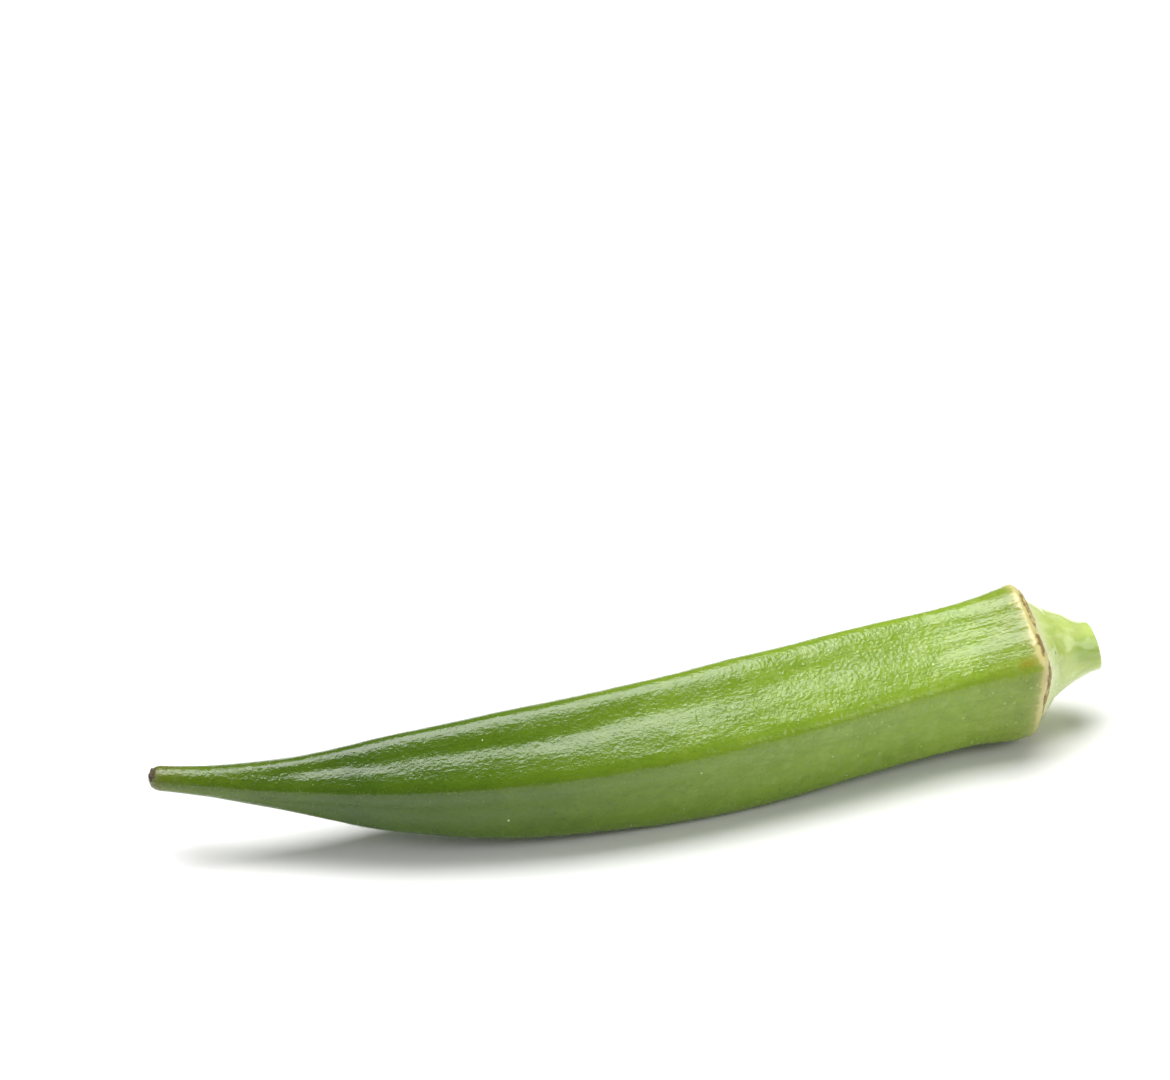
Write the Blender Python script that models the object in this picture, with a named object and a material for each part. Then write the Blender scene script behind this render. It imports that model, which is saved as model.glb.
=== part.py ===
"""Okra pod, whole and lying on its side: the ribbed seed pod, and the cap and cut stalk behind it.

Metres, +Z up. X runs from the pod's blunt tip to the cut end of the stalk. The pod lies on one of
its five faces, and it bows sideways towards -Y. The origin is under the middle of the whole object,
on the surface that it lies on.

Each solid is a tube of cross-sections along one curved axis. A cross-section is a rounded
five-sided outline for the pod and nearly a circle for the stalk.
"""

import math

import bmesh
import bpy
from mathutils import Matrix, Vector

MM = 0.001

# Lengths along the axis, from the tip
POD_LENGTH = 105.0 * MM  # to the outer edge of the scar ring
STEM_LENGTH = 10.4 * MM  # from the scar ring to the cut
NOSE_LENGTH = 1.3 * MM  # the domed end of the tip
LIP_RADIUS = 1.1 * MM  # rounding of the pod's wide end, where it turns in to the cap
CUT_RADIUS = 0.25 * MM  # rounding of the stalk's cut edge
GAP = 0.3 * MM  # between the pod and the cap, in the scar groove

# Half thickness across the faces, as (distance from the tip, half thickness)
POD_PROFILE = (
    (0.0 * MM, 1.40 * MM),
    (3.0 * MM, 1.52 * MM),
    (8.0 * MM, 1.90 * MM),
    (16.0 * MM, 2.95 * MM),
    (27.0 * MM, 4.95 * MM),
    (40.0 * MM, 6.50 * MM),
    (54.0 * MM, 7.35 * MM),
    (68.0 * MM, 7.75 * MM),
    (82.0 * MM, 7.65 * MM),
    (94.0 * MM, 7.45 * MM),
    (100.5 * MM, 7.75 * MM),
    (105.0 * MM, 8.50 * MM),
)
# Radius of the cap and stalk, as (distance from the scar ring, radius)
STEM_PROFILE = (
    (0.0 * MM, 8.20 * MM),
    (1.5 * MM, 7.00 * MM),
    (3.0 * MM, 5.90 * MM),
    (5.0 * MM, 4.75 * MM),
    (7.5 * MM, 3.75 * MM),
    (9.2 * MM, 3.35 * MM),
    (10.4 * MM, 3.40 * MM),
)

# The axis, as (fraction of the pod's length, degrees)
HEADING = ((0.0, -17.6), (0.25, -7.2), (0.5, 2.5), (0.75, 9.0), (1.0, 0.5), (1.1, -1.5))
RISE = ((0.0, -3.2), (1.1, 3.9))
AXIS_STEP = 0.5 * MM  # length of each straight step along the axis

# The five faces: direction that each looks in at the fraction STRAIGHT_AT, degrees above the front
FACE_ANGLES = (-90.0, -16.0, 58.0, 128.0, 198.0)
TWIST = 8.5  # degrees that the faces turn over the pod's length
STRAIGHT_AT = 0.6
# How sharp the ridges between the faces are, as (fraction of the length, exponent)
RIDGES = ((0.0, 5.0), (0.06, 12.0), (0.3, 15.0), (0.85, 14.0), (0.97, 10.0), (1.0, 8.0))
STEM_RIDGES = 3.0

# Attitude that brings the belly and the wide end down on the surface together, degrees
REST_ROLL = 0.2
REST_PITCH = 0.45

# Mesh
AROUND = 50  # a multiple of the five faces
NOSE_RINGS = 7
BODY_RINGS = 44
LIP_RINGS = 4
STEM_RINGS = 12
CUT_RINGS = 3
HALF_GRID = 0.5  # the grid that a tube is rolled from reaches this far each way
WELD = 0.000001
SHARP_ANGLE = 50.0  # degrees; edges that turn more than this are shaded sharp

# Finishes: colour, roughness
POD_GREEN = ((0.16, 0.27, 0.05, 1.0), 0.42)
STEM_GREEN = ((0.52, 0.62, 0.27, 1.0), 0.38)


def smooth_value(table, at):
    """Value of a curve that runs smoothly through a table of (place, value)."""
    last = len(table) - 1
    low = 0
    while low < last - 1 and at >= table[low + 1][0]:
        low += 1

    def slope(index):
        before = table[max(index - 1, 0)]
        after = table[min(index + 1, last)]
        return (after[1] - before[1]) / (after[0] - before[0])

    (start, first), (end, second) = table[low], table[low + 1]
    width = end - start
    t = (at - start) / width
    return (
        (2 * t**3 - 3 * t**2 + 1) * first
        + (t**3 - 2 * t**2 + t) * width * slope(low)
        + (3 * t**2 - 2 * t**3) * second
        + (t**3 - t**2) * width * slope(low + 1)
    )


def straight_value(table, at):
    """Value between the points of a table of (place, value), on straight lines."""
    for (start, first), (end, second) in zip(table, table[1:]):
        if at <= end:
            return first + (second - first) * (at - start) / (end - start)
    return table[-1][1]


def direction(distance):
    """Direction of the axis at a distance from the tip."""
    fraction = distance / POD_LENGTH
    heading = math.radians(smooth_value(HEADING, fraction))
    rise = math.radians(straight_value(RISE, fraction))
    flat = math.cos(rise)
    return Vector((flat * math.cos(heading), flat * math.sin(heading), math.sin(rise)))


def axis_frames(distances):
    """A frame at each distance from the tip: X along the axis, Y to the back, Z up."""
    frames = []
    point = Vector((0.0, 0.0, 0.0))
    reached = 0.0
    for distance in distances:
        steps = max(1, math.ceil((distance - reached) / AXIS_STEP))
        step = (distance - reached) / steps
        for index in range(steps):
            point = point + direction(reached + (index + 0.5) * step) * step
        reached = distance
        along = direction(distance)
        back = Vector((0.0, 0.0, 1.0)).cross(along).normalized()
        up = along.cross(back)
        frame = Matrix((along, back, up)).transposed().to_4x4()
        frame.translation = point
        frames.append(frame)
    return frames


def outline(angle, fraction, sharpness):
    """Distance from the axis to a five-sided outline whose half thickness is 1."""
    turned = TWIST * (fraction - STRAIGHT_AT)
    total = 0.0
    for face in FACE_ANGLES:
        facing = math.cos(angle - math.radians(face + turned))
        total += max(facing, 0.0) ** sharpness
    return total ** (-1.0 / sharpness)


def pod_rings():
    """(distance from the tip, half thickness) of each ring of the pod."""
    rings = []
    for index in range(1, NOSE_RINGS + 1):
        turn = 0.5 * math.pi * index / NOSE_RINGS
        distance = NOSE_LENGTH * (1.0 - math.cos(turn))
        rings.append((distance, smooth_value(POD_PROFILE, distance) * math.sin(turn)))
    for index in range(1, BODY_RINGS + 1):
        distance = NOSE_LENGTH + (POD_LENGTH - NOSE_LENGTH) * index / BODY_RINGS
        rings.append((distance, smooth_value(POD_PROFILE, distance)))
    widest = POD_PROFILE[-1][1]
    for index in range(1, LIP_RINGS + 1):
        turn = 0.5 * math.pi * index / LIP_RINGS
        distance = POD_LENGTH + LIP_RADIUS * math.sin(turn)
        rings.append((distance, widest - LIP_RADIUS * (1.0 - math.cos(turn))))
    return rings


def stem_rings():
    """(distance from the tip, radius) of each ring of the cap and stalk."""
    rings = []
    first = LIP_RADIUS + GAP
    last = STEM_LENGTH - CUT_RADIUS
    for index in range(STEM_RINGS + 1):
        beyond = first + (last - first) * index / STEM_RINGS
        rings.append((POD_LENGTH + beyond, smooth_value(STEM_PROFILE, beyond)))
    for index in range(1, CUT_RINGS + 1):
        turn = 0.5 * math.pi * index / CUT_RINGS
        beyond = last + CUT_RADIUS * math.sin(turn)
        inset = CUT_RADIUS * (1.0 - math.cos(turn))
        rings.append((POD_LENGTH + beyond, smooth_value(STEM_PROFILE, beyond) - inset))
    return rings


def make_material(name, finish):
    """A plain material of one colour."""
    colour, roughness = finish
    material = bpy.data.materials.new(name)
    material.use_nodes = True
    shader = material.node_tree.nodes["Principled BSDF"]
    shader.inputs["Base Color"].default_value = colour
    shader.inputs["Roughness"].default_value = roughness
    shader.inputs["Metallic"].default_value = 0.0
    material.diffuse_color = colour
    return material


def make_tube(name, rings, sharpness_at, finish):
    """A closed solid through the rings: a grid rolled round the axis, with its ends filled."""
    mesh_rows = len(rings) - 1
    frames = axis_frames([distance for distance, _ in rings])
    bm = bmesh.new()
    bmesh.ops.create_grid(bm, x_segments=AROUND, y_segments=mesh_rows, size=HALF_GRID)
    for vert in bm.verts:
        angle = 2.0 * math.pi * (vert.co.x + HALF_GRID)
        row = round((vert.co.y + HALF_GRID) * mesh_rows)
        distance, thickness = rings[row]
        fraction = min(distance / POD_LENGTH, 1.0)
        radius = thickness * outline(angle, fraction, sharpness_at(fraction))
        vert.co = frames[row] @ Vector((0.0, -radius * math.cos(angle), radius * math.sin(angle)))
    bmesh.ops.remove_doubles(bm, verts=bm.verts, dist=WELD)
    rims = [edge for edge in bm.edges if edge.is_boundary]
    bmesh.ops.holes_fill(bm, edges=rims, sides=0)
    bmesh.ops.recalc_face_normals(bm, faces=bm.faces)
    mesh = bpy.data.meshes.new(name)
    bm.to_mesh(mesh)
    bm.free()
    mesh.shade_smooth()
    mesh.set_sharp_from_angle(angle=math.radians(SHARP_ANGLE))
    mesh.materials.append(make_material(name, finish))
    solid = bpy.data.objects.new(name, mesh)
    bpy.context.scene.collection.objects.link(solid)
    return solid


def lay_down(solids):
    """Tip the solids to their resting attitude and put the origin under their middle."""
    roll = Matrix.Rotation(math.radians(REST_ROLL), 4, "X")
    pitch = Matrix.Rotation(math.radians(REST_PITCH), 4, "Y")
    for solid in solids:
        solid.data.transform(pitch @ roll)
    points = [vert.co for solid in solids for vert in solid.data.vertices]
    low = [min(point[axis] for point in points) for axis in range(3)]
    high = [max(point[axis] for point in points) for axis in range(3)]
    middle = Vector((0.5 * (low[0] + high[0]), 0.5 * (low[1] + high[1]), low[2]))
    for solid in solids:
        solid.data.transform(Matrix.Translation(-middle))


def main():
    for old in list(bpy.data.objects):
        bpy.data.objects.remove(old, do_unlink=True)
    pod = make_tube("pod", pod_rings(), lambda at: straight_value(RIDGES, at), POD_GREEN)
    stem = make_tube("stem", stem_rings(), lambda at: STEM_RIDGES, STEM_GREEN)
    lay_down([pod, stem])


main()
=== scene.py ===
"""Okra pod, whole and lying on its side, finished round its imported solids.

Metres, +Z up. X runs from the pod's blunt tip to the cut end of the stalk. The skin and the stalk
are tubes rolled round one curved axis, like the solids that they stand for, with the relief of the
real surface: a shallow groove down the middle of each face, ribs, dents and a corky scar ring.
"""

import math
import random

import bmesh
import bpy
from bpy.props import FloatProperty, FloatVectorProperty, IntProperty, PointerProperty
from mathutils import Matrix, Vector, noise


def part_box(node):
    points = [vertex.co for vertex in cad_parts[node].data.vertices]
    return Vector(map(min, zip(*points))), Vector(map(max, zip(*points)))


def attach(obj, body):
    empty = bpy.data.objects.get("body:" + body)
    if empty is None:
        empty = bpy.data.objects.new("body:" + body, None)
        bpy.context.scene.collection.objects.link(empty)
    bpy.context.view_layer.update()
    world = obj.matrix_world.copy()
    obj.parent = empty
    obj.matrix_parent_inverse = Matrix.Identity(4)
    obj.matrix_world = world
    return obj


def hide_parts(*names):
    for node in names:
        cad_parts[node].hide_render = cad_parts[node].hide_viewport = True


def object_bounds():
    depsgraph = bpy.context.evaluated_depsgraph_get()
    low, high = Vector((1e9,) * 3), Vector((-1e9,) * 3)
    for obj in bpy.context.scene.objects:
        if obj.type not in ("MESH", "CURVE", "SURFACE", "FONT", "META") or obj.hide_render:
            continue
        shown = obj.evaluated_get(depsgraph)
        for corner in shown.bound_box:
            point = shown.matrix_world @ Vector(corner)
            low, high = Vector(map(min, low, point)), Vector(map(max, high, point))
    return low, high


bl_info = {
    "name": "Okra Pod",
    "version": (1, 0, 0),
    "blender": (4, 5, 0),
    "location": "View3D > Sidebar > Okra",
    "description": "Builds a whole okra pod with its scar ring, stalk and down, and a stage to show it",
    "category": "Add Mesh",
}

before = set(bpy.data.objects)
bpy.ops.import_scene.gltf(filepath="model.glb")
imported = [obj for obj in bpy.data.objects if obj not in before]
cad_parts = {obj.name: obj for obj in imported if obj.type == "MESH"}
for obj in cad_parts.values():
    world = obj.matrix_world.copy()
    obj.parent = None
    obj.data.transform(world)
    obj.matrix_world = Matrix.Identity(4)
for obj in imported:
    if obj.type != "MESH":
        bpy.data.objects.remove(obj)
CAD_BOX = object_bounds()
BODY = "root"
MM = 0.001

# The axis and the outline, as the solids have them. The profiles are (distance, half thickness), and
# heading, rise and twist are in degrees at fractions of the pod's length from the tip
POD_LENGTH = 105.0 * MM
STEM_LENGTH = 10.4 * MM
NOSE_LENGTH = 1.3 * MM
LIP_RADIUS = 1.1 * MM
POD_PROFILE = (
    (0.0 * MM, 1.40 * MM),
    (3.0 * MM, 1.52 * MM),
    (8.0 * MM, 1.90 * MM),
    (16.0 * MM, 2.95 * MM),
    (27.0 * MM, 4.95 * MM),
    (40.0 * MM, 6.50 * MM),
    (54.0 * MM, 7.35 * MM),
    (68.0 * MM, 7.75 * MM),
    (82.0 * MM, 7.65 * MM),
    (94.0 * MM, 7.45 * MM),
    (100.5 * MM, 7.75 * MM),
    (105.0 * MM, 8.50 * MM),
)
STEM_PROFILE = (
    (0.0 * MM, 8.20 * MM),
    (1.5 * MM, 7.00 * MM),
    (3.0 * MM, 5.90 * MM),
    (5.0 * MM, 4.75 * MM),
    (7.5 * MM, 3.75 * MM),
    (9.2 * MM, 3.28 * MM),
    (10.4 * MM, 3.12 * MM),
)
HEADING = ((0.0, -17.6), (0.25, -7.2), (0.5, 2.5), (0.75, 9.0), (1.0, 0.5), (1.1, -1.5))
RISE = ((0.0, -3.2), (1.1, 3.9))
AXIS_STEP = 0.5 * MM
FACE_ANGLES = (-90.0, -16.0, 58.0, 128.0, 198.0)
TWIST = ((0.0, -16.0), (0.08, -11.0), (0.22, -3.8), (0.6, 0.0), (1.0, 3.4))
# How sharp the ridges are along the pod: 2 gives a round section, and more gives flatter faces
RIDGES = (
    (0.0, 3.0),
    (0.06, 3.4),
    (0.15, 6.5),
    (0.25, 9.5),
    (0.5, 11.5),
    (0.85, 14.0),
    (0.97, 10.0),
    (1.0, 8.0),
)
FULLER = 1.015  # thickens the skin a little, because its ridges are softer than the solid's
STEM_RIDGES = ((1.0 * MM, 7.0), (3.5 * MM, 3.0))  # the same for the stalk, by the distance from the ring
REST_ROLL = 0.2
REST_PITCH = 0.45

# Mesh
HALF_GRID = 0.5
WELD = 0.0005 * MM
POD_AROUND = 190
POD_STEP = 0.27 * MM
NOSE_RINGS = 12
LIP_RINGS = 10
STEM_AROUND = 150
STEM_STEP = 0.16 * MM


# ---------------------------------------------------------------------------------------------
# Curves, the axis and the outline
# ---------------------------------------------------------------------------------------------


def smooth_value(table, at):
    """Value of a curve that runs smoothly through a table of (place, value)."""
    last = len(table) - 1
    low = 0
    while low < last - 1 and at >= table[low + 1][0]:
        low += 1

    def slope(index):
        before = table[max(index - 1, 0)]
        after = table[min(index + 1, last)]
        return (after[1] - before[1]) / (after[0] - before[0])

    (start, first), (end, second) = table[low], table[low + 1]
    width = end - start
    t = (at - start) / width
    return (
        (2 * t**3 - 3 * t**2 + 1) * first
        + (t**3 - 2 * t**2 + t) * width * slope(low)
        + (3 * t**2 - 2 * t**3) * second
        + (t**3 - t**2) * width * slope(low + 1)
    )


def straight_value(table, at):
    """Value between the points of a table of (place, value), on straight lines."""
    if at <= table[0][0]:
        return table[0][1]
    for (start, first), (end, second) in zip(table, table[1:]):
        if at <= end:
            return first + (second - first) * (at - start) / (end - start)
    return table[-1][1]


def ease(low, high, at):
    """0 below low, 1 above high, and a smooth step between them."""
    t = min(max((at - low) / (high - low), 0.0), 1.0)
    return t * t * (3.0 - 2.0 * t)


def direction(distance):
    """Direction of the axis at a distance from the tip."""
    fraction = distance / POD_LENGTH
    heading = math.radians(smooth_value(HEADING, fraction))
    rise = math.radians(straight_value(RISE, fraction))
    flat = math.cos(rise)
    return Vector((flat * math.cos(heading), flat * math.sin(heading), math.sin(rise)))


def axis_frames(distances):
    """A frame at each distance from the tip: X along the axis, Y to the back, Z up."""
    frames = []
    point = Vector((0.0, 0.0, 0.0))
    reached = 0.0
    for distance in distances:
        steps = max(1, math.ceil(abs(distance - reached) / AXIS_STEP))
        step = (distance - reached) / steps
        for index in range(steps):
            point = point + direction(reached + (index + 0.5) * step) * step
        reached = distance
        along = direction(distance)
        back = Vector((0.0, 0.0, 1.0)).cross(along).normalized()
        up = along.cross(back)
        turned = Matrix((along, back, up)).transposed().to_4x4()
        turned.translation = point
        frames.append(turned)
    return frames


def outline(angle, fraction, sharpness):
    """Distance from the axis to a five-sided outline whose half thickness is 1."""
    turned = straight_value(TWIST, fraction)
    total = 0.0
    for face in FACE_ANGLES:
        facing = math.cos(angle - math.radians(face + turned))
        total += max(facing, 0.0) ** sharpness
    return total ** (-1.0 / sharpness)


def across_face(angle, fraction):
    """(number of the face, place across it): 0 on its middle line and 1 or -1 on its ridges."""
    turned = straight_value(TWIST, fraction)
    best = (0, 0.0)
    least = 360.0
    count = len(FACE_ANGLES)
    for index, face in enumerate(FACE_ANGLES):
        off = (math.degrees(angle) - face - turned + 180.0) % 360.0 - 180.0
        if abs(off) < abs(least):
            least = off
            towards = 1 if off > 0 else -1
            spacing = (FACE_ANGLES[(index + towards) % count] - face) * towards % 360.0
            best = (index, off / (0.5 * spacing))
    return best


def resting_place():
    """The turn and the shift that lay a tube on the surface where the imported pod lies."""
    roll = Matrix.Rotation(math.radians(REST_ROLL), 4, "X")
    pitch = Matrix.Rotation(math.radians(REST_PITCH), 4, "Y")
    turn = pitch @ roll
    distances = [POD_LENGTH * index / 60 for index in range(61)]
    points = []
    for distance, at in zip(distances, axis_frames(distances)):
        fraction = distance / POD_LENGTH
        for column in range(72):
            angle = math.tau * column / 72
            radius = smooth_value(POD_PROFILE, distance)
            radius *= outline(angle, fraction, straight_value(RIDGES, fraction))
            points.append(turn @ at @ Vector((0.0, -radius * math.cos(angle), radius * math.sin(angle))))
    low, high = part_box("pod")
    own_low = [min(point[axis] for point in points) for axis in range(3)]
    own_high = [max(point[axis] for point in points) for axis in range(3)]
    shift = Vector(
        (
            low[0] - own_low[0],
            0.5 * (low[1] + high[1] - own_low[1] - own_high[1]),
            0.5 * (low[2] + high[2] - own_low[2] - own_high[2]),
        )
    )
    return Matrix.Translation(shift) @ turn


PLACE = resting_place()


def wavy(point, size, seed):
    """Smooth noise from -1 to 1 whose bumps are about this size."""
    return noise.noise(point / size + Vector((seed * 17.3, seed * 5.1, seed * 9.7)))


# ---------------------------------------------------------------------------------------------
# Building helpers
# ---------------------------------------------------------------------------------------------


def roll_tube(name, distances, around, shape_at):
    """A closed tube: a grid rolled round the axis. shape_at(row, angle) is (shift along, radius).

    The mesh keeps what the finishes need: grown, each point's place on the straightened pod;
    along, its distance from the tip over the pod's length; and ridge, 1 on a ridge.
    """
    rows = len(distances) - 1
    frames = axis_frames(distances)
    bm = bmesh.new()
    bmesh.ops.create_grid(bm, x_segments=around, y_segments=rows, size=HALF_GRID)
    grown = bm.verts.layers.float_vector.new("grown")
    along = bm.verts.layers.float.new("along")
    ridge = bm.verts.layers.float.new("ridge")
    for vert in bm.verts:
        angle = math.tau * (vert.co.x + HALF_GRID)
        row = round((vert.co.y + HALF_GRID) * rows)
        shift, radius = shape_at(row, angle)
        side = Vector((shift, -radius * math.cos(angle), radius * math.sin(angle)))
        fraction = distances[row] / POD_LENGTH
        vert[grown] = (distances[row] + shift, side.y, side.z)
        vert[along] = fraction
        vert[ridge] = abs(across_face(angle, min(fraction, 1.0))[1])
        vert.co = PLACE @ frames[row] @ side
    bmesh.ops.remove_doubles(bm, verts=bm.verts, dist=WELD)
    rims = [edge for edge in bm.edges if edge.is_boundary]
    bmesh.ops.holes_fill(bm, edges=rims, sides=0)
    bmesh.ops.recalc_face_normals(bm, faces=bm.faces)
    return add_piece(name, bm)


def add_piece(name, bm):
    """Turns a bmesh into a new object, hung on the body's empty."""
    mesh = bpy.data.meshes.new(name)
    bm.to_mesh(mesh)
    bm.free()
    mesh.shade_smooth()
    piece = bpy.data.objects.new(name, mesh)
    bpy.context.scene.collection.objects.link(piece)
    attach(piece, BODY)
    return piece


class Graph:
    """A material's nodes, built with short calls. Every call gives back an output socket."""

    def __init__(self, name):
        self.material = bpy.data.materials.new(name)
        self.material.use_nodes = True
        self.nodes = self.material.node_tree.nodes
        self.links = self.material.node_tree.links
        self.shader = self.nodes["Principled BSDF"]

    def put(self, socket, value):
        """Links an output to a socket, or sets the socket's own value."""
        if isinstance(value, bpy.types.NodeSocket):
            self.links.new(value, socket)
        elif socket.type == "RGBA" and len(value) == 3:
            socket.default_value = (*value, 1.0)
        else:
            socket.default_value = value

    def shade(self, name, value):
        self.put(self.shader.inputs[name], value)

    def attribute(self, name, output="Fac"):
        node = self.nodes.new("ShaderNodeAttribute")
        node.attribute_name = name
        return node.outputs[output]

    def stretch(self, vector, scale):
        node = self.nodes.new("ShaderNodeMapping")
        self.put(node.inputs["Vector"], vector)
        node.inputs["Scale"].default_value = scale
        return node.outputs["Vector"]

    def noise(self, vector, size, detail=2.0, roughness=0.5):
        """Noise from 0 to 1 whose bumps are about this size, in metres."""
        node = self.nodes.new("ShaderNodeTexNoise")
        self.put(node.inputs["Vector"], vector)
        node.inputs["Scale"].default_value = 1.0 / size
        node.inputs["Detail"].default_value = detail
        node.inputs["Roughness"].default_value = roughness
        return node.outputs["Fac"]

    def cells(self, vector, size):
        """Distance to the nearest of scattered points that are about this far apart."""
        node = self.nodes.new("ShaderNodeTexVoronoi")
        self.put(node.inputs["Vector"], vector)
        node.inputs["Scale"].default_value = 1.0 / size
        return node.outputs["Distance"]

    def math(self, operation, first, second):
        node = self.nodes.new("ShaderNodeMath")
        node.operation = operation
        for socket, value in zip(node.inputs, (first, second)):
            self.put(socket, value)
        return node.outputs["Value"]

    def times(self, first, second):
        return self.math("MULTIPLY", first, second)

    def span(self, value, low, high, to_low=0.0, to_high=1.0):
        """Maps low..high to to_low..to_high along a smooth step."""
        node = self.nodes.new("ShaderNodeMapRange")
        node.interpolation_type = "SMOOTHSTEP"
        for socket, item in zip(node.inputs, (value, low, high, to_low, to_high)):
            self.put(socket, item)
        return node.outputs["Result"]

    def ramp(self, value, stops):
        """A colour for a value, from (place, colour) stops."""
        node = self.nodes.new("ShaderNodeValToRGB")
        self.put(node.inputs["Fac"], value)
        elements = node.color_ramp.elements
        while len(elements) < len(stops):
            elements.new(1.0)
        for element, (place, colour) in zip(elements, stops):
            element.position = place
            element.color = (*colour, 1.0)
        return node.outputs["Color"]

    def mix(self, amount, first, second, blend="MIX"):
        node = self.nodes.new("ShaderNodeMix")
        node.data_type = "RGBA"
        node.blend_type = blend
        self.put(node.inputs["Factor"], amount)
        colour_inputs = [socket for socket in node.inputs if socket.type == "RGBA"]
        self.put(colour_inputs[0], first)
        self.put(colour_inputs[1], second)
        return [socket for socket in node.outputs if socket.type == "RGBA"][0]

    def coordinates(self):
        """The piece's own Object coordinates."""
        return self.nodes.new("ShaderNodeTexCoord").outputs["Object"]

    def radial(self, vector):
        """Distance from the axis of a point on the straightened pod."""
        node = self.nodes.new("ShaderNodeVectorMath")
        node.operation = "LENGTH"
        self.put(node.inputs[0], self.stretch(vector, (0.0, 1.0, 1.0)))
        return node.outputs["Value"]

    def apart(self, vector, point):
        """Distance of each place from a point."""
        node = self.nodes.new("ShaderNodeVectorMath")
        node.operation = "DISTANCE"
        self.put(node.inputs[0], vector)
        self.put(node.inputs[1], point)
        return node.outputs["Value"]

    def bump(self, height, distance, normal=None):
        """Bends the normal by a height of 0 to 1 that stands this far out, in metres."""
        node = self.nodes.new("ShaderNodeBump")
        node.inputs["Distance"].default_value = distance
        self.put(node.inputs["Height"], height)
        if normal is not None:
            self.put(node.inputs["Normal"], normal)
        return node.outputs["Normal"]


# ---------------------------------------------------------------------------------------------
# Settings
# ---------------------------------------------------------------------------------------------


def length_setting(name, description, default):
    return FloatProperty(name=name, description=description, default=default, unit="LENGTH", precision=6)


def angle_setting(name, description, degrees):
    return FloatProperty(
        name=name, description=description, default=math.radians(degrees), subtype="ANGLE"
    )


def power_setting(name, description, default):
    return FloatProperty(name=name, description=description, default=default, unit="POWER")


def colour_setting(name, description, default):
    return FloatVectorProperty(
        name=name, description=description, default=default, subtype="COLOR", min=0.0, max=1.0
    )


class OkraReliefSettings(bpy.types.PropertyGroup):
    """Depths of the relief on the pod's skin"""

    groove_depth: length_setting("Groove", "Depth of the groove down the middle of each face", 0.23 * MM)
    dent_depth: length_setting("Dents", "Depth of the broad dents in the faces", 0.16 * MM)
    rib_depth: length_setting("Ribs", "Height of the fine ribs that run along the pod", 0.06 * MM)
    pebble_depth: length_setting("Pebbling", "Height of the short bumps all over the skin", 0.035 * MM)
    lip_height: length_setting("Lip", "Height of the raised lip round the wide end", 0.11 * MM)


class OkraColourSettings(bpy.types.PropertyGroup):
    """Colours of the pod, its scars and its stalk"""

    tip: colour_setting("Tip", "Dull olive of the pod's last few millimetres", (0.130, 0.160, 0.020))
    neck: colour_setting("Neck", "Green of the slender part behind the tip", (0.088, 0.152, 0.003))
    deep: colour_setting("Deep green", "Darkest green, a quarter of the way along", (0.045, 0.094, 0.003))
    leaf: colour_setting("Leaf green", "Green of the middle of the pod", (0.075, 0.143, 0.004))
    fresh: colour_setting("Fresh green", "Green of the thick half of the pod", (0.185, 0.298, 0.016))
    light: colour_setting("Light green", "Green near the scar ring", (0.230, 0.355, 0.025))
    pale: colour_setting("Pale green", "Green just before the lip", (0.212, 0.292, 0.032))
    cream: colour_setting("Cream", "Lip of the scar ring", (0.55, 0.50, 0.20))
    cork: colour_setting("Cork", "Dried brown skin in the scar ring", (0.23, 0.155, 0.050))
    scar: colour_setting("Tip scar", "Dried remnant on the tip", (0.050, 0.036, 0.020))
    stalk: colour_setting("Stalk", "Pale green of the cap and stalk", (0.48, 0.60, 0.16))
    pith: colour_setting("Pith", "Cut face of the stalk", (0.62, 0.62, 0.36))


class OkraDownSettings(bpy.types.PropertyGroup):
    """The fine hairs and the beads on the skin"""

    hairs: IntProperty(name="Hairs", description="Number of hairs", default=7000, min=0)
    hair_length: length_setting("Hair length", "Usual length of a hair", 0.34 * MM)
    hair_radius: length_setting("Hair radius", "Radius of a hair at its root", 0.014 * MM)
    beads: IntProperty(name="Beads", description="Number of clear beads of sap", default=70, min=0)
    bead_radius: length_setting("Bead radius", "Radius of the largest bead", 0.16 * MM)
    seed: IntProperty(name="Seed", description="Changes where hairs and beads stand", default=7)


class OkraStageSettings(bpy.types.PropertyGroup):
    """The floor, the lights and the camera"""

    azimuth: angle_setting("Azimuth", "Turn of the camera round the pod", -15.48)
    elevation: angle_setting("Elevation", "Height of the camera as an angle", 29.5)
    distance: length_setting("Distance", "From the camera to the point that it aims at", 0.434)
    lens: FloatProperty(name="Lens", description="Focal length in millimetres", default=100.0)
    floor: colour_setting("Floor", "Colour of the floor", (0.86, 0.86, 0.85))
    sky: FloatProperty(name="Surroundings", description="Brightness of the white surroundings", default=0.15)
    key: power_setting("Key light", "Power of the overhead light", 26.5)
    fill: power_setting("Fill light", "Power of each side light", 9.0)


# ---------------------------------------------------------------------------------------------
# Pod skin
# ---------------------------------------------------------------------------------------------

TUCK = 0.9 * MM  # how far the lip is drawn in, at most
TUCK_ANGLE = -50.0
GROOVE_SHIFT = 0.20
GROOVE_WIDTH = 0.32
GROOVE_WANDER = 0.16
DENT_SIZE = 10.0 * MM
RIB_SIZE = 1.4 * MM
PEBBLE_SIZE = 1.5 * MM
LIP_AT = 104.8 * MM  # middle of the raised lip
LIP_WIDTH = 0.5 * MM
BLUNT = 0.4 * MM  # how far the nose stands out past the solid's
LIP_FOOT = Vector((105.0 * MM, -4.0 * MM, -7.5 * MM))  # where the lip is least cream
RUB_AT = Vector((0.5 * 103.5 * MM, -7.9 * MM, 4.7 * MM))  # shortened lengthways, to draw it out

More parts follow.
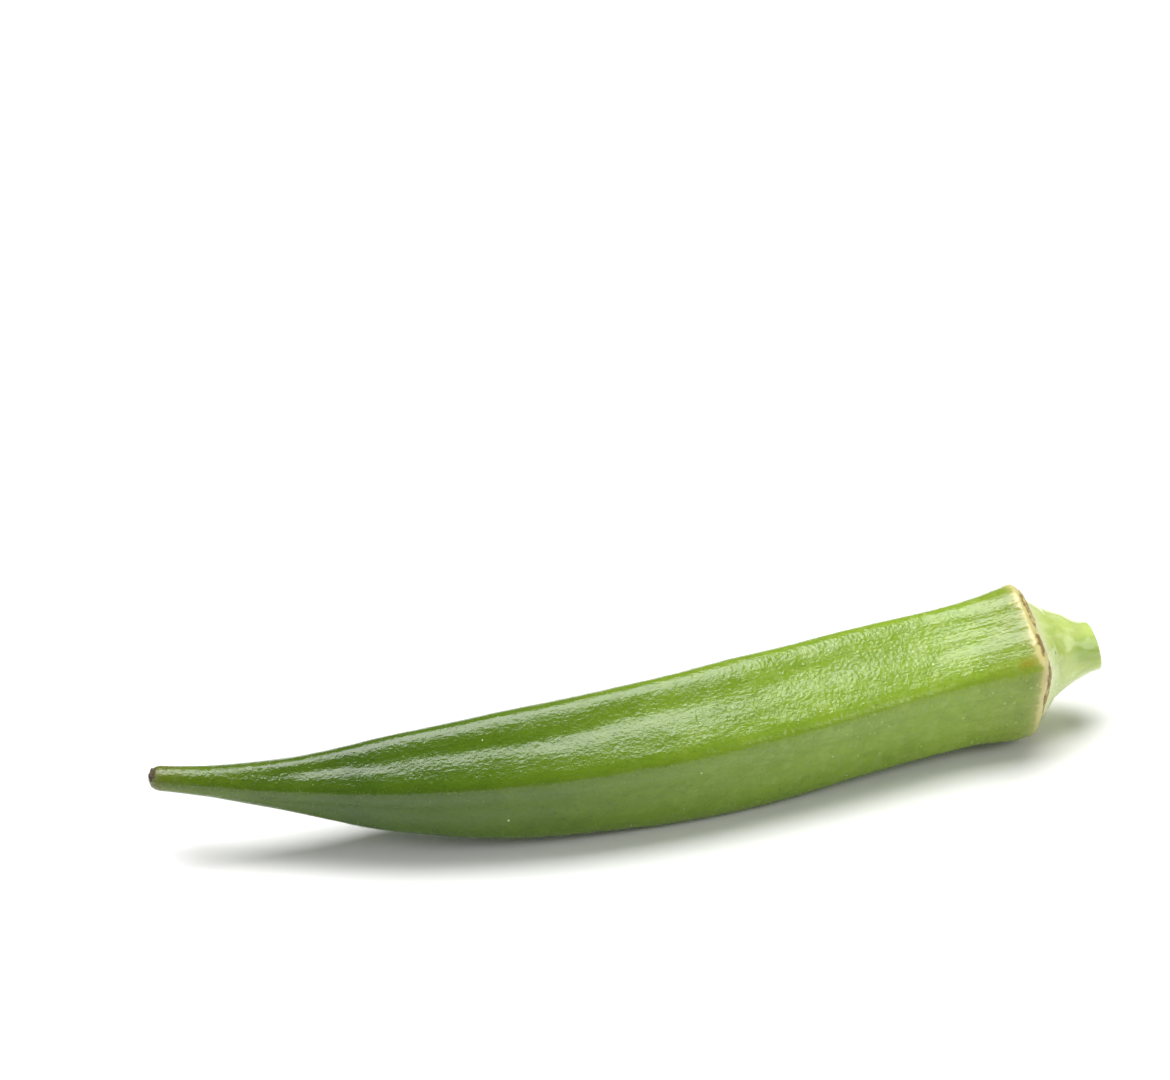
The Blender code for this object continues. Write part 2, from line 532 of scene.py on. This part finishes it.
# Colours that shade the greens (multiplied) and that lie over them
MOTTLED = (0.62, 0.72, 0.50)
LINED = (0.70, 0.78, 0.70)
GRAINED = (0.72, 0.76, 0.66)
SPECKED = (0.45, 0.55, 0.35)
RIDGE_GREEN = (0.23, 0.34, 0.010)
# Painted sheen: pale green that stands in for the broken glints of the overhead light
PAINTED_SHEEN_GREEN = (0.36, 0.46, 0.11)
FRECKLE_YELLOW = (0.48, 0.56, 0.16)
RUBBED_BROWN = (0.28, 0.23, 0.02)
DRIED_OLIVE = (0.085, 0.080, 0.018)


def pod_rings():
    """(distance from the tip, half thickness) of each ring of the skin, from tip to scar groove."""
    rings = []
    for index in range(1, NOSE_RINGS + 1):
        turn = 0.5 * math.pi * index / NOSE_RINGS
        distance = NOSE_LENGTH * (1.0 - math.cos(turn))
        rings.append((distance, FULLER * smooth_value(POD_PROFILE, distance) * math.sin(turn)))
    count = round((POD_LENGTH - NOSE_LENGTH) / POD_STEP)
    for index in range(1, count + 1):
        distance = NOSE_LENGTH + (POD_LENGTH - NOSE_LENGTH) * index / count
        rings.append((distance, FULLER * smooth_value(POD_PROFILE, distance)))
    widest = FULLER * POD_PROFILE[-1][1]
    for index in range(1, LIP_RINGS + 1):
        turn = 0.5 * math.pi * index / LIP_RINGS
        distance = POD_LENGTH + LIP_RADIUS * math.sin(turn)
        rings.append((distance, widest - LIP_RADIUS * (1.0 - math.cos(turn))))
    return rings


def tucked_in(distance, angle):
    """How far the lip is drawn in at the ridge that the pod's wide end rests on."""
    near = max(math.cos(angle - math.radians(TUCK_ANGLE)), 0.0) ** 4
    return TUCK * near * ease(102.0 * MM, 106.0 * MM, distance)


def pod_relief(relief, distance, angle, thickness):
    """How far the skin stands out from the plain outline, in metres."""
    fraction = min(distance / POD_LENGTH, 1.0)
    face, across = across_face(angle, fraction)
    spot = Vector((distance, -thickness * math.cos(angle), thickness * math.sin(angle)))
    streak = Vector((0.1 * distance, spot.y, spot.z))
    body = ease(0.03, 0.2, fraction)
    neck = ease(0.8, 0.98, fraction)
    own = Vector((distance, 0.05 * face, 0.0))  # each face has its own waviness
    wander = GROOVE_WANDER * wavy(own, 9.0 * MM, 3)
    groove = math.exp(-(((across - GROOVE_SHIFT - wander) / GROOVE_WIDTH) ** 2))
    depth = relief.groove_depth * (0.85 + 0.5 * wavy(own, 16.0 * MM, 4))
    reach = ease(0.05, 0.20, fraction) * (1.0 - 0.6 * ease(0.5, 0.9, fraction))
    height = -depth * reach * groove * min(thickness / (5.5 * MM), 1.0)
    height += relief.dent_depth * body * wavy(spot, DENT_SIZE, 1)
    height += relief.rib_depth * (0.35 * body + neck) * wavy(streak, RIB_SIZE, 5)
    pebble = Vector((0.7 * distance, spot.y, spot.z))
    height += relief.pebble_depth * body * wavy(pebble, PEBBLE_SIZE, 6)
    beside_lip = (distance - LIP_AT) / LIP_WIDTH
    uneven = 1.0 + 0.6 * wavy(spot, 1.8 * MM, 8)
    height += relief.lip_height * uneven * math.exp(-(beside_lip**2))
    return height


def pod_skin_material(colours):
    g = Graph("okra_skin")
    spot = g.attribute("grown", "Vector")
    along = g.attribute("along")
    ridge = g.attribute("ridge")
    streaks = g.stretch(spot, (0.06, 1.0, 1.0))
    broad = g.noise(spot, 9.0 * MM, 3.0)
    mottle = g.noise(g.stretch(spot, (0.55, 1.0, 1.0)), 2.6 * MM, 4.0, 0.6)
    line = g.noise(streaks, 0.8 * MM, 3.0, 0.6)
    stipple = g.noise(g.stretch(spot, (0.8, 1.0, 1.0)), 0.40 * MM, 2.0, 0.6)
    pebbles = g.noise(spot, 0.9 * MM, 1.0, 0.5)

    # From tip to ring, with an uneven change from one green to the next
    place = g.math("ADD", along, g.times(g.math("SUBTRACT", broad, 0.5), 0.10))
    place = g.math("ADD", place, g.times(g.math("SUBTRACT", line, 0.5), 0.05))
    green = g.ramp(
        place,
        [
            (0.0, colours.tip),
            (0.05, colours.neck),
            (0.22, colours.deep),
            (0.36, colours.leaf),
            (0.70, colours.fresh),
            (0.92, colours.light),
            (0.985, colours.pale),
        ],
    )
    # Darker mottling, faint lines along the pod, and yellower ridges in the thick half
    green = g.mix(g.span(mottle, 0.40, 0.68, 0.0, 0.38), green, MOTTLED, "MULTIPLY")
    green = g.mix(g.span(line, 0.50, 0.75, 0.0, 0.36), green, LINED, "MULTIPLY")
    on_ridge = g.times(g.span(ridge, 0.80, 0.99), g.span(along, 0.35, 0.8, 0.04, 0.30))
    green = g.mix(on_ridge, green, RIDGE_GREEN)
    # Fine dark grain and specks; in the thick half, soft pale blotches of painted sheen that stand in for
    # the glints of the overhead light, and yellow freckles
    grain = g.noise(spot, 0.45 * MM, 2.0)
    green = g.mix(g.span(grain, 0.45, 0.65, 0.0, 0.30), green, GRAINED, "MULTIPLY")
    specks = g.cells(spot, 1.3 * MM)
    green = g.mix(g.span(specks, 0.08, 0.20, 0.40, 0.0), green, SPECKED, "MULTIPLY")
    # Painted sheen: pale blotches where the overhead light's glints would break up on the skin
    sheen_blotches = g.noise(spot, 1.5 * MM, 3.0, 0.55)
    painted_sheen = g.times(g.span(sheen_blotches, 0.46, 0.66, 0.0, 0.22), g.span(along, 0.35, 0.8))
    green = g.mix(painted_sheen, green, PAINTED_SHEEN_GREEN)
    dots = g.cells(spot, 1.0 * MM)
    freckled = g.times(g.span(dots, 0.14, 0.24, 0.6, 0.0), g.span(along, 0.5, 0.95, 0.05, 1.0))
    freckled = g.times(freckled, g.span(mottle, 0.5, 0.6))
    green = g.mix(freckled, green, FRECKLE_YELLOW)
    # The last millimetres fade to a cream lip, with less cream towards its lower front, and rusty where it
    # turns in
    uneven = g.math("SUBTRACT", g.math("ADD", line, mottle), 1.0)
    lip_edge = g.math("ADD", along, g.times(uneven, 0.012))
    lip_cream_share = g.span(g.apart(spot, LIP_FOOT), 3.0 * MM, 6.5 * MM, 0.35, 1.0)
    colour = g.mix(g.span(lip_edge, 0.985, 0.998, 0.0, 0.35), green, colours.cream)
    colour = g.mix(g.times(lip_cream_share, g.span(lip_edge, 0.994, 0.999)), colour, colours.cream)
    rusty = g.times(g.span(lip_edge, 1.002, 1.006), g.span(mottle, 0.50, 0.56))
    colour = g.mix(rusty, colour, colours.cork)
    # A rubbed brown mark by the front ridge, and dull olive skin round the tip
    rubbed = g.span(g.apart(g.stretch(spot, (0.5, 1.0, 1.0)), RUB_AT), 0.2 * MM, 1.1 * MM, 0.7, 0.0)
    colour = g.mix(g.times(rubbed, g.span(line, 0.30, 0.60)), colour, RUBBED_BROWN)
    dried = g.span(g.math("ADD", along, g.times(uneven, 0.010)), 0.002, 0.016, 0.85, 0.0)
    colour = g.mix(dried, colour, DRIED_OLIVE)
    g.shade("Base Color", colour)

    g.shade("Roughness", g.span(stipple, 0.3, 0.7, 0.34, 0.46))
    papillae = g.span(g.cells(spot, 0.75 * MM), 0.05, 0.5, 1.0, 0.0)
    rougher = g.times(g.span(along, 0.35, 0.85, 0.4, 1.0), g.span(along, 0.90, 0.98, 1.0, 0.7))
    fine = g.times(g.span(along, 0.05, 0.22, 1.7, 1.0), g.span(along, 0.88, 0.97, 1.0, 0.55))
    bumps = g.bump(g.times(stipple, fine), 0.062 * MM)
    bumps = g.bump(g.times(pebbles, rougher), 0.030 * MM, bumps)
    bumps = g.bump(g.times(papillae, rougher), 0.020 * MM, bumps)
    bumps = g.bump(g.times(line, g.span(along, 0.80, 0.95, 0.4, 1.0)), 0.085 * MM, bumps)
    g.shade("Normal", bumps)
    g.shade("Specular IOR Level", 0.0)
    g.shade("Coat Weight", 1.0)
    g.shade("Coat Roughness", 0.17)
    g.shade("Coat Normal", bumps)
    return g.material


class OKRA_OT_pod_skin(bpy.types.Operator):
    """Make the pod's skin, with its grooves, ribs and raised lip"""

    bl_idname = "okra.pod_skin"
    bl_label = "Pod Skin"

    def execute(self, context):
        relief = context.scene.okra_relief
        rings = pod_rings()

        def shape_at(row, angle):
            distance, thickness = rings[row]
            fraction = min(distance / POD_LENGTH, 1.0)
            radius = thickness * outline(angle, fraction, straight_value(RIDGES, fraction))
            radius -= tucked_in(distance, angle)
            blunt = -BLUNT * ease(3.0 * MM, 0.3 * MM, distance)
            return blunt, radius + pod_relief(relief, distance, angle, thickness)

        skin = roll_tube("pod_skin", [distance for distance, _ in rings], POD_AROUND, shape_at)
        skin.data.materials.append(pod_skin_material(context.scene.okra_colours))
        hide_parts("pod")
        return {"FINISHED"}


# ---------------------------------------------------------------------------------------------
# Scar ring and tip scar
# ---------------------------------------------------------------------------------------------

SCAR_AROUND = 420
SCAR_ROWS = 12
SCAR_AT = 0.75  # radians round the lip, from its widest line towards the cap
SCAR_HALF_WIDTH = 0.34 * MM
SCAR_HALF_THICKNESS = 0.13 * MM
SCAR_WANDER = 0.25 * MM
FLAKE_TAN = (0.46, 0.38, 0.15)


def scar_material(colours):
    g = Graph("okra_cork")
    spot = g.attribute("grown", "Vector")
    patches = g.noise(spot, 2.4 * MM, 3.0, 0.6)
    flakes = g.noise(spot, 0.35 * MM, 4.0, 0.7)
    colour = g.mix(g.span(patches, 0.40, 0.50), colours.cream, colours.cork)
    colour = g.mix(g.span(flakes, 0.42, 0.62, 0.0, 0.8), colour, FLAKE_TAN)
    g.shade("Base Color", colour)
    g.shade("Roughness", 0.85)
    g.shade("Normal", g.bump(flakes, 0.12 * MM))
    return g.material


class OKRA_OT_scar_ring(bpy.types.Operator):
    """Make the ragged band of cork between the pod and its cap"""

    bl_idname = "okra.scar_ring"
    bl_label = "Scar Ring"

    def execute(self, context):
        widest = POD_PROFILE[-1][1]
        middle = POD_LENGTH + LIP_RADIUS * math.sin(SCAR_AT)
        inset = LIP_RADIUS * (1.0 - math.cos(SCAR_AT))
        distances = [middle] * (SCAR_ROWS + 1)

        def shape_at(row, angle):
            turn = math.tau * row / SCAR_ROWS
            spot = Vector((0.0, widest * math.cos(angle), widest * math.sin(angle)))
            ragged = 1.0 + 0.55 * wavy(spot, 1.1 * MM, 11) + 0.35 * wavy(spot, 0.4 * MM, 12)
            patch = 0.15 + 0.85 * ease(-0.35, 0.05, wavy(spot, 3.2 * MM, 13))
            width = SCAR_HALF_WIDTH * ragged * patch * (1.0 + 0.5 * max(math.cos(angle), 0.0))
            thick = SCAR_HALF_THICKNESS * patch * (1.0 + 0.5 * wavy(spot, 0.6 * MM, 14))
            across, out = math.cos(turn) * width, math.sin(turn) * thick
            shift = across * math.cos(SCAR_AT) + out * math.sin(SCAR_AT)
            raised = out * math.cos(SCAR_AT) - across * math.sin(SCAR_AT)
            radius = (widest - inset) * outline(angle, 1.0, RIDGES[-1][1]) - tucked_in(middle, angle)
            return shift + SCAR_WANDER * wavy(spot, 4.0 * MM, 15), radius + raised

        ring = roll_tube("scar_ring", distances, SCAR_AROUND, shape_at)
        ring.data.materials.append(scar_material(context.scene.okra_colours))
        return {"FINISHED"}


TIP_SCAR_SIZE = (0.55 * MM, 0.85 * MM, 0.70 * MM)
TIP_SCAR_SHIFT = Vector((-0.34 * MM, -0.30 * MM, 0.55 * MM))
TIP_SCAR_DETAIL = 4
TIP_SCAR_TAN = (0.22, 0.15, 0.07)


class OKRA_OT_tip_scar(bpy.types.Operator):
    """Make the small dried remnant of the flower on the pod's tip"""

    bl_idname = "okra.tip_scar"
    bl_label = "Tip Scar"

    def execute(self, context):
        colours = context.scene.okra_colours
        at = PLACE @ axis_frames([0.55 * MM])[0]
        bm = bmesh.new()
        bmesh.ops.create_icosphere(bm, subdivisions=TIP_SCAR_DETAIL, radius=1.0)
        grown = bm.verts.layers.float_vector.new("grown")
        for vert in bm.verts:
            rough = 1.0 + 0.30 * wavy(vert.co, 0.45, 21) + 0.12 * wavy(vert.co, 0.16, 22)
            spot = Vector(size * rough * value for size, value in zip(TIP_SCAR_SIZE, vert.co))
            spot += TIP_SCAR_SHIFT
            vert[grown] = spot
            vert.co = at @ spot
        scar = add_piece("tip_scar", bm)
        g = Graph("okra_tip_scar")
        flakes = g.noise(g.attribute("grown", "Vector"), 0.22 * MM, 4.0, 0.7)
        g.shade("Base Color", g.mix(g.span(flakes, 0.45, 0.75), colours.scar, TIP_SCAR_TAN))
        g.shade("Roughness", 0.8)
        g.shade("Normal", g.bump(flakes, 0.08 * MM))
        scar.data.materials.append(g.material)
        return {"FINISHED"}


# ---------------------------------------------------------------------------------------------
# Cap and stalk
# ---------------------------------------------------------------------------------------------

DOT_AT = Vector((108.0 * MM, -5.0 * MM, 3.3 * MM))
# Painted shade: centre of the darker green patch on the stalk's front near the cut
SHADE_PATCH_AT = Vector((0.6 * 112.6 * MM, -2.9 * MM, 1.6 * MM))  # shortened lengthways, to draw it out
STEM_START = 1.15 * MM  # from the scar ring to the cap's base, inside the groove
CUT_RADIUS = 0.25 * MM
CUT_SLANT = 0.42 * MM
CUT_BACK = 0.35 * MM
CUT_RINGS = 5
FACE_RINGS = 16
BOWL = 0.16 * MM  # depth of the hollow in the cut face
SHOULDER = 0.85 * MM  # how much fuller the cap is on top
SHOULDER_RISE = (0.8 * MM, 4.2 * MM)  # where that fullness comes and goes, from the ring
SHOULDER_FALL = (10.6 * MM, 6.4 * MM)

CLOUD_GREEN = (0.36, 0.48, 0.10)
VEIN_GREEN = (0.64, 0.72, 0.34)
CAP_CREAM = (0.66, 0.68, 0.40)
# Painted shade: darker green for the shaded patch on the stalk's front
PAINTED_SHADE_GREEN = (0.27, 0.42, 0.07)
DOT_GREEN = (0.10, 0.16, 0.03)
STRAND_BROWN = (0.36, 0.34, 0.16)


def stem_rings():
    """(distance from the tip, radius, how far on to the cut face from 0 to 1) of each ring."""
    rings = []
    last = STEM_LENGTH - CUT_RADIUS
    count = round((last - STEM_START) / STEM_STEP)
    for index in range(count + 1):
        beyond = STEM_START + (last - STEM_START) * index / count
        rings.append((POD_LENGTH + beyond, smooth_value(STEM_PROFILE, beyond), 0.0))
    rim = smooth_value(STEM_PROFILE, last)
    for index in range(1, CUT_RINGS + 1):
        turn = 0.5 * math.pi * index / CUT_RINGS
        rings.append(
            (POD_LENGTH + last + CUT_RADIUS * math.sin(turn), rim - CUT_RADIUS * (1.0 - math.cos(turn)), 0.0)
        )
    end, edge, _ = rings[-1]
    for index in range(1, FACE_RINGS + 1):
        inward = index / FACE_RINGS
        rings.append((end, edge * (1.0 - 0.98 * inward), inward))
    return rings


def stem_material(colours):
    g = Graph("okra_stalk")
    spot = g.attribute("grown", "Vector")
    along = g.attribute("along")
    veins = g.noise(g.stretch(spot, (0.08, 1.0, 1.0)), 0.9 * MM, 3.0, 0.6)
    clouds = g.noise(spot, 3.6 * MM, 2.0)
    grain = g.noise(spot, 0.3 * MM, 3.0, 0.6)
    colour = g.mix(g.span(clouds, 0.42, 0.62, 0.0, 0.6), colours.stalk, CLOUD_GREEN)
    colour = g.mix(g.span(veins, 0.45, 0.7, 0.0, 0.35), colour, VEIN_GREEN)
    colour = g.mix(g.span(along, 1.0105, 1.030, 0.9, 0.0), colour, CAP_CREAM)
    # A darker green patch of painted shade in front near the cut, and one small dark dot
    painted_shade = g.span(g.apart(g.stretch(spot, (0.6, 1.0, 1.0)), SHADE_PATCH_AT), 0.6 * MM, 2.2 * MM, 0.6, 0.0)
    colour = g.mix(painted_shade, colour, PAINTED_SHADE_GREEN)
    mark = g.span(g.apart(spot, DOT_AT), 0.18 * MM, 0.42 * MM, 0.9, 0.0)
    colour = g.mix(mark, colour, DOT_GREEN)
    # The cut face: a pale pith with a greener rind
    across = g.math("DIVIDE", g.radial(spot), STEM_PROFILE[-1][1])
    strands = g.cells(g.stretch(spot, (0.0, 1.0, 1.0)), 0.42 * MM)
    cut = g.ramp(
        across,
        [
            (0.0, (0.56, 0.56, 0.36)),
            (0.45, colours.pith),
            (0.62, (0.40, 0.46, 0.18)),
            (0.74, (0.55, 0.58, 0.28)),
            (0.90, (0.34, 0.40, 0.12)),
            (1.0, (0.30, 0.36, 0.10)),
        ],
    )
    cut = g.mix(g.span(strands, 0.15, 0.45, 0.45, 0.0), cut, STRAND_BROWN)
    end = POD_LENGTH + STEM_LENGTH
    on_cut = g.span(along, (end - 0.12 * MM) / POD_LENGTH, (end - 0.04 * MM) / POD_LENGTH)
    g.shade("Base Color", g.mix(on_cut, colour, cut))
    g.shade("Roughness", g.span(grain, 0.3, 0.7, 0.22, 0.42))
    g.shade("Normal", g.bump(veins, 0.05 * MM, g.bump(grain, 0.02 * MM)))
    g.shade("Specular IOR Level", 0.1)
    g.shade("Coat Weight", 0.9)
    g.shade("Coat Roughness", 0.12)
    g.shade("Subsurface Weight", 0.15)
    g.shade("Subsurface Radius", (0.8, 1.0, 0.4))
    g.shade("Subsurface Scale", 1.2 * MM)
    return g.material


class OKRA_OT_stem(bpy.types.Operator):
    """Make the flared cap and the cut stalk"""

    bl_idname = "okra.stem"
    bl_label = "Cap and Stalk"

    def execute(self, context):
        rings = stem_rings()

        def shape_at(row, angle):
            distance, radius, inward = rings[row]
            beyond = distance - POD_LENGTH
            sharpness = straight_value(STEM_RIDGES, beyond)
            spot = Vector((distance, -radius * math.cos(angle), radius * math.sin(angle)))
            slant = -CUT_BACK - CUT_SLANT * math.sin(angle) * radius / rings[-FACE_RINGS - 1][1]
            if inward > 0.0:
                bowl = BOWL * ease(0.0, 0.8, inward)
                return slant - bowl + 0.05 * MM * wavy(spot, 0.5 * MM, 33), radius
            shoulder = ease(*SHOULDER_RISE, beyond) * ease(*SHOULDER_FALL, beyond)
            rib = 0.09 * MM * wavy(Vector((0.12 * distance, spot.y, spot.z)), 2.2 * MM, 31)
            rib += SHOULDER * shoulder * max(math.sin(angle), 0.0) ** 2
            lump = 0.07 * MM * wavy(spot, 2.0 * MM, 32)
            slant *= ease(3.0 * MM, 9.5 * MM, beyond)
            return slant, radius * outline(angle, 1.0, sharpness) + rib + lump

        stem = roll_tube("stem_skin", [distance for distance, _, _ in rings], STEM_AROUND, shape_at)
        stem.data.materials.append(stem_material(context.scene.okra_colours))
        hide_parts("stem")
        return {"FINISHED"}


# ---------------------------------------------------------------------------------------------
# Down and beads
# ---------------------------------------------------------------------------------------------

HAIRS_IN_A_TUFT = 120
HAIR_SIDES = 3
HAIR_ROOT = 0.02 * MM
HAIR_COLOURS = ((0.26, 0.37, 0.08), (0.40, 0.50, 0.18))
BEAD_COLOURS = ((0.60, 0.66, 0.36), (0.80, 0.84, 0.62))
BEAD_FLATNESS = 0.6


def spots_on_skin(rng, count, weight_at):
    """(point, normal) pairs scattered over the pod's skin, with more where the weight is high."""
    mesh = bpy.data.objects["pod_skin"].data
    ridge = mesh.attributes["ridge"].data
    along = mesh.attributes["along"].data
    faces = [face for face in mesh.polygons if len(face.vertices) == 4]
    weights = []
    for face in faces:
        corner = face.vertices[0]
        weights.append(face.area * weight_at(along[corner].value, ridge[corner].value))
    spots = []
    for face in rng.choices(faces, weights=weights, k=count):
        corners = [mesh.vertices[index].co for index in face.vertices]
        first = corners[0].lerp(corners[1], rng.random())
        second = corners[3].lerp(corners[2], rng.random())
        spots.append((first.lerp(second, rng.random()), face.normal.copy()))
    return spots


class OKRA_OT_down(bpy.types.Operator):
    """Make the short pale hairs, thickest along the ridges"""

    bl_idname = "okra.down"
    bl_label = "Down"

    def execute(self, context):
        down = context.scene.okra_down
        rng = random.Random(down.seed)
        spots = spots_on_skin(
            rng, down.hairs, lambda along, ridge: (0.14 + 2.4 * ridge**8) * ease(1.0, 0.97, along)
        )
        bm = bmesh.new()
        mesh = bpy.data.meshes.new("tuft")
        for start in range(0, len(spots), HAIRS_IN_A_TUFT):
            tuft = bmesh.new()
            for point, normal in spots[start : start + HAIRS_IN_A_TUFT]:
                lean = Vector((rng.uniform(-1.0, 0.4), rng.uniform(-0.6, 0.6), rng.uniform(-0.6, 0.6)))
                towards = (normal + 0.55 * lean).normalized()
                length = down.hair_length * rng.uniform(0.45, 1.35)
                turn = towards.to_track_quat("Z", "Y").to_matrix().to_4x4()
                middle = Matrix.Translation(point + towards * (0.5 * length - HAIR_ROOT))
                bmesh.ops.create_cone(
                    tuft,
                    cap_ends=True,
                    segments=HAIR_SIDES,
                    radius1=down.hair_radius,
                    radius2=0.12 * down.hair_radius,
                    depth=length,
                    matrix=middle @ turn,
                )
            tuft.to_mesh(mesh)
            tuft.free()
            bm.from_mesh(mesh)
        bpy.data.meshes.remove(mesh)
        hairs = add_piece("down", bm)
        g = Graph("okra_down")
        tint = g.noise(g.coordinates(), 3.0 * MM, 2.0)
        g.shade("Base Color", g.mix(g.span(tint, 0.4, 0.6), *HAIR_COLOURS))
        g.shade("Roughness", 0.45)
        g.shade("Sheen Weight", 0.3)
        hairs.data.materials.append(g.material)
        return {"FINISHED"}


class OKRA_OT_beads(bpy.types.Operator):
    """Make the tiny clear beads that glint on the skin"""

    bl_idname = "okra.beads"
    bl_label = "Beads"

    def execute(self, context):
        down = context.scene.okra_down
        rng = random.Random(down.seed + 1)
        spots = spots_on_skin(rng, down.beads, lambda along, ridge: 0.3 + 1.4 * along**2)
        bm = bmesh.new()
        for point, normal in spots:
            radius = down.bead_radius * rng.uniform(0.3, 1.0) ** 2
            turn = normal.to_track_quat("Z", "Y").to_matrix().to_4x4()
            flat = Matrix.Diagonal((1.0, 1.0, BEAD_FLATNESS, 1.0))
            bmesh.ops.create_icosphere(
                bm, subdivisions=1, radius=radius, matrix=Matrix.Translation(point) @ turn @ flat
            )
        beads = add_piece("beads", bm)
        g = Graph("okra_beads")
        tint = g.noise(g.coordinates(), 2.0 * MM, 2.0)
        g.shade("Base Color", g.mix(g.span(tint, 0.4, 0.6), *BEAD_COLOURS))
        g.shade("Roughness", 0.12)
        g.shade("Coat Weight", 0.5)
        g.shade("Coat Roughness", 0.05)
        beads.data.materials.append(g.material)
        return {"FINISHED"}


# ---------------------------------------------------------------------------------------------
# Stage
# ---------------------------------------------------------------------------------------------

FLOOR_HALF = 4.0
AIM = (0.0816, 0.5163)  # where the camera aims on the floor, over the pod's length
KEY_PLACE = Vector((-0.09, 0.305, 1.25))
KEY_AIM = Vector((-0.09, 0.305, 0.0))
KEY_SIZE = (1.35, 0.87)
FILL_PLACES = (Vector((-1.4, -0.3, 0.7)), Vector((1.25, -0.75, 0.7)))
FILL_SIZE = (1.0, 1.0)


def add_light(name, place, aim, size, power):
    """A soft rectangular light that shines from a place to a point."""
    light = bpy.data.lights.new(name, "AREA")
    light.shape = "RECTANGLE"
    light.size, light.size_y = size
    light.energy = power
    lamp = bpy.data.objects.new(name, light)
    lamp.location = place
    lamp.rotation_euler = (aim - place).to_track_quat("-Z", "Y").to_euler()
    bpy.context.scene.collection.objects.link(lamp)


class OKRA_OT_stage(bpy.types.Operator):
    """Make the pale floor, the soft lights and the camera"""

    bl_idname = "okra.stage"
    bl_label = "Stage"

    def execute(self, context):
        stage = context.scene.okra_stage
        low, high = CAD_BOX
        middle = 0.5 * (low + high)

        bm = bmesh.new()
        bmesh.ops.create_grid(bm, x_segments=1, y_segments=1, size=FLOOR_HALF)
        bmesh.ops.translate(bm, verts=bm.verts, vec=Vector((0.0, 0.0, low.z)))
        mesh = bpy.data.meshes.new("floor")
        bm.to_mesh(mesh)
        bm.free()
        floor = bpy.data.objects.new("floor", mesh)
        context.scene.collection.objects.link(floor)
        g = Graph("floor")
        g.shade("Base Color", tuple(stage.floor))
        g.shade("Roughness", 0.7)
        floor.data.materials.append(g.material)

        world = bpy.data.worlds.new("surroundings")
        world.use_nodes = True
        sky = world.node_tree.nodes["Background"]
        sky.inputs["Color"].default_value = (1.0, 1.0, 1.0, 1.0)
        sky.inputs["Strength"].default_value = stage.sky
        context.scene.world = world
        add_light("key", middle + KEY_PLACE, middle + KEY_AIM, KEY_SIZE, stage.key)
        for index, place in enumerate(FILL_PLACES):
            add_light(f"fill_{index}", middle + place, middle, FILL_SIZE, stage.fill)

        length = high.x - low.x
        aim = Vector((middle.x + AIM[0] * length, middle.y + AIM[1] * length, low.z))
        flat = math.cos(stage.elevation)
        back = Vector(
            (math.sin(stage.azimuth) * flat, -math.cos(stage.azimuth) * flat, math.sin(stage.elevation))
        )
        camera = bpy.data.objects.new("camera", bpy.data.cameras.new("camera"))
        camera.data.lens = stage.lens
        camera.data.clip_start = 0.01
        camera.location = aim + back * stage.distance
        camera.rotation_euler = (-back).to_track_quat("-Z", "Y").to_euler()
        context.scene.collection.objects.link(camera)
        context.scene.camera = camera
        context.scene.view_settings.view_transform = "Standard"
        return {"FINISHED"}


# ---------------------------------------------------------------------------------------------
# Panel and running
# ---------------------------------------------------------------------------------------------

OPERATORS = (
    OKRA_OT_pod_skin,
    OKRA_OT_scar_ring,
    OKRA_OT_tip_scar,
    OKRA_OT_stem,
    OKRA_OT_down,
    OKRA_OT_beads,
    OKRA_OT_stage,
)
SETTINGS = (
    ("okra_relief", OkraReliefSettings),
    ("okra_colours", OkraColourSettings),
    ("okra_down", OkraDownSettings),
    ("okra_stage", OkraStageSettings),
)


class OKRA_PT_panel(bpy.types.Panel):
    """Lists the steps that build the okra pod, and their settings"""

    bl_label = "Okra Pod"
    bl_idname = "OKRA_PT_panel"
    bl_space_type = "VIEW_3D"
    bl_region_type = "UI"
    bl_category = "Okra"

    def draw(self, context):
        column = self.layout.column()
        for operator in OPERATORS:
            column.operator(operator.bl_idname)
        for attribute, group in SETTINGS:
            box = self.layout.box()
            for name in group.__annotations__:
                box.prop(getattr(context.scene, attribute), name)


def register():
    for _, group in SETTINGS:
        bpy.utils.register_class(group)
    for attribute, group in SETTINGS:
        setattr(bpy.types.Scene, attribute, PointerProperty(type=group))
    for operator in OPERATORS:
        bpy.utils.register_class(operator)
    bpy.utils.register_class(OKRA_PT_panel)


def unregister():
    bpy.utils.unregister_class(OKRA_PT_panel)
    for operator in reversed(OPERATORS):
        bpy.utils.unregister_class(operator)
    for attribute, group in reversed(SETTINGS):
        delattr(bpy.types.Scene, attribute)
        bpy.utils.unregister_class(group)


def main():
    register()
    bpy.ops.okra.pod_skin()
    bpy.ops.okra.scar_ring()
    bpy.ops.okra.tip_scar()
    bpy.ops.okra.stem()
    bpy.ops.okra.down()
    bpy.ops.okra.beads()
    bpy.ops.okra.stage()


if __name__ == "__main__":
    main()
